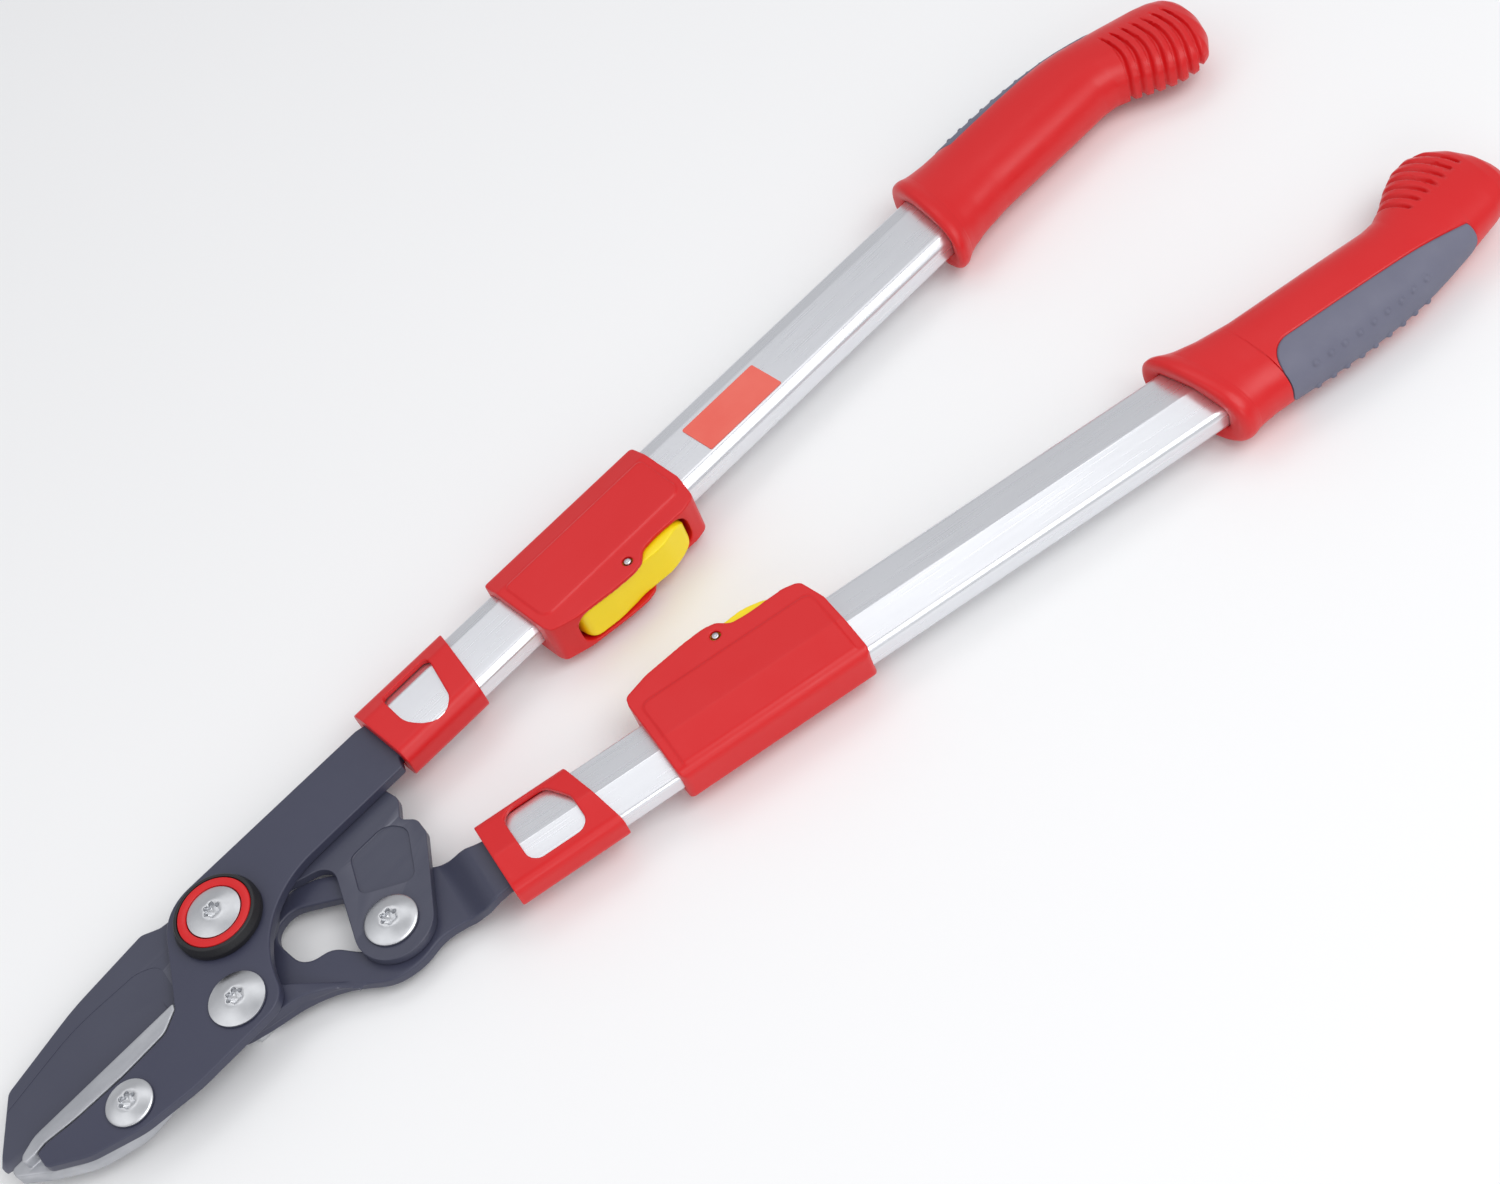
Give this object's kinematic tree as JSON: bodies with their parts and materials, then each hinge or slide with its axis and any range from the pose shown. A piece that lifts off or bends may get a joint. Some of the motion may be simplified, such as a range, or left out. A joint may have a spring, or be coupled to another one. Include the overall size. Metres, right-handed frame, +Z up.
{
  "type": "telescopic anvil lopper",
  "caption": "Two-handed anvil lopper: a coated blade with a roller-driven arm closes on a light-metal anvil; telescopic tube handles with rocker locks and hooked grips.",
  "frame": {"origin": "middle of the tool's plan, on the surface it lies on, jaws closed and handles retracted", "axes": "+Z up out of the jaw lever's face; +X along the left handle from the jaws to its grip; +Y to the left handle's outer side"},
  "size_m": [0.6536, 0.217, 0.0294],
  "materials": {
    "slate_plate": "satin non-stick coating",
    "anvil_metal": "satin cast",
    "zinc": "turned, zinc plated",
    "bronze": "plain",
    "cover_black": "matte",
    "red_plastic": "satin moulded",
    "yellow_plastic": "satin moulded",
    "satin_aluminium": "anodised satin",
    "grey_rubber": "soft, matte",
    "plug_black": "matte",
    "label": "plain printed film"
  },
  "bodies": {
    "jaw_frame": {"jaw_lever": "slate_plate", "anvil": "anvil_metal", "anvil_bolt": "zinc", "pivot_bolt": "zinc", "pivot_nut": "zinc", "pivot_cover": "cover_black", "pivot_ring": "red_plastic", "lever_bolt": "zinc", "lever_nut": "zinc", "left_collar": "red_plastic", "left_inner_tube": "satin_aluminium", "left_tang_rivet_inner": "zinc", "left_tang_rivet_outer": "zinc", "left_guide_plug": "plug_black"},
    "cutting_blade": {"blade": "slate_plate", "blade_bushing": "bronze", "drive_bolt": "zinc", "drive_nut": "zinc"},
    "roller": {"drive_roller": "zinc"},
    "cam_arm": {"cam_lever": "slate_plate", "lever_bushing": "bronze", "right_collar": "red_plastic", "right_inner_tube": "satin_aluminium", "right_tang_rivet_inner": "zinc", "right_tang_rivet_outer": "zinc", "right_guide_plug": "plug_black"},
    "left_sleeve": {"left_outer_tube": "satin_aluminium", "left_lock_housing": "red_plastic", "left_button_pin": "zinc", "left_button_spring": "zinc", "left_grip": "red_plastic", "left_grip_pad": "grey_rubber", "left_label": "label"},
    "right_sleeve": {"right_outer_tube": "satin_aluminium", "right_lock_housing": "red_plastic", "right_button_pin": "zinc", "right_button_spring": "zinc", "right_grip": "red_plastic", "right_grip_pad": "grey_rubber"},
    "left_button": {"left_lock_button": "yellow_plastic", "left_latch_pin": "zinc"},
    "right_button": {"right_lock_button": "yellow_plastic", "right_latch_pin": "zinc"}
  },
  "joints": [
    {"name": "handle_open", "type": "hinge", "parent": "jaw_frame", "child": "cam_arm", "pos_m": [-0.23205, 0.04125, 0.0153], "axis": [0, 0, -1], "range_deg": [0, 80]},
    {"name": "blade_open", "type": "hinge", "parent": "jaw_frame", "child": "cutting_blade", "pos_m": [-0.21675, 0.07385, 0.0153], "axis": [0, 0, -1], "range_deg": [0, 42]},
    {"name": "roller_spin", "type": "hinge", "parent": "cutting_blade", "child": "roller", "pos_m": [-0.17625, 0.02245, 0.0153], "axis": [0, 0, 1], "continuous": true},
    {"name": "left_telescope", "type": "slide", "parent": "jaw_frame", "child": "left_sleeve", "axis": [1, 0, 0], "range_m": [0, 0.25]},
    {"name": "right_telescope", "type": "slide", "parent": "cam_arm", "child": "right_sleeve", "axis": [0.9716, -0.2365, 0], "range_m": [0, 0.25]},
    {"name": "left_button_press", "type": "hinge", "parent": "left_sleeve", "child": "left_button", "pos_m": [-0.02045, 0.05731, 0.0153], "axis": [0, 0, 1], "range_deg": [0, 8], "stiffness_Nm_per_rad": 0.6},
    {"name": "right_button_press", "type": "hinge", "parent": "right_sleeve", "child": "right_button", "pos_m": [-0.02486, 0.00382, 0.0153], "axis": [0, 0, -1], "range_deg": [0, 8], "stiffness_Nm_per_rad": 0.6}
  ],
  "couplings": [
    {"joint": "blade_open", "follows": "handle_open", "ratio": 0.52}
  ]
}
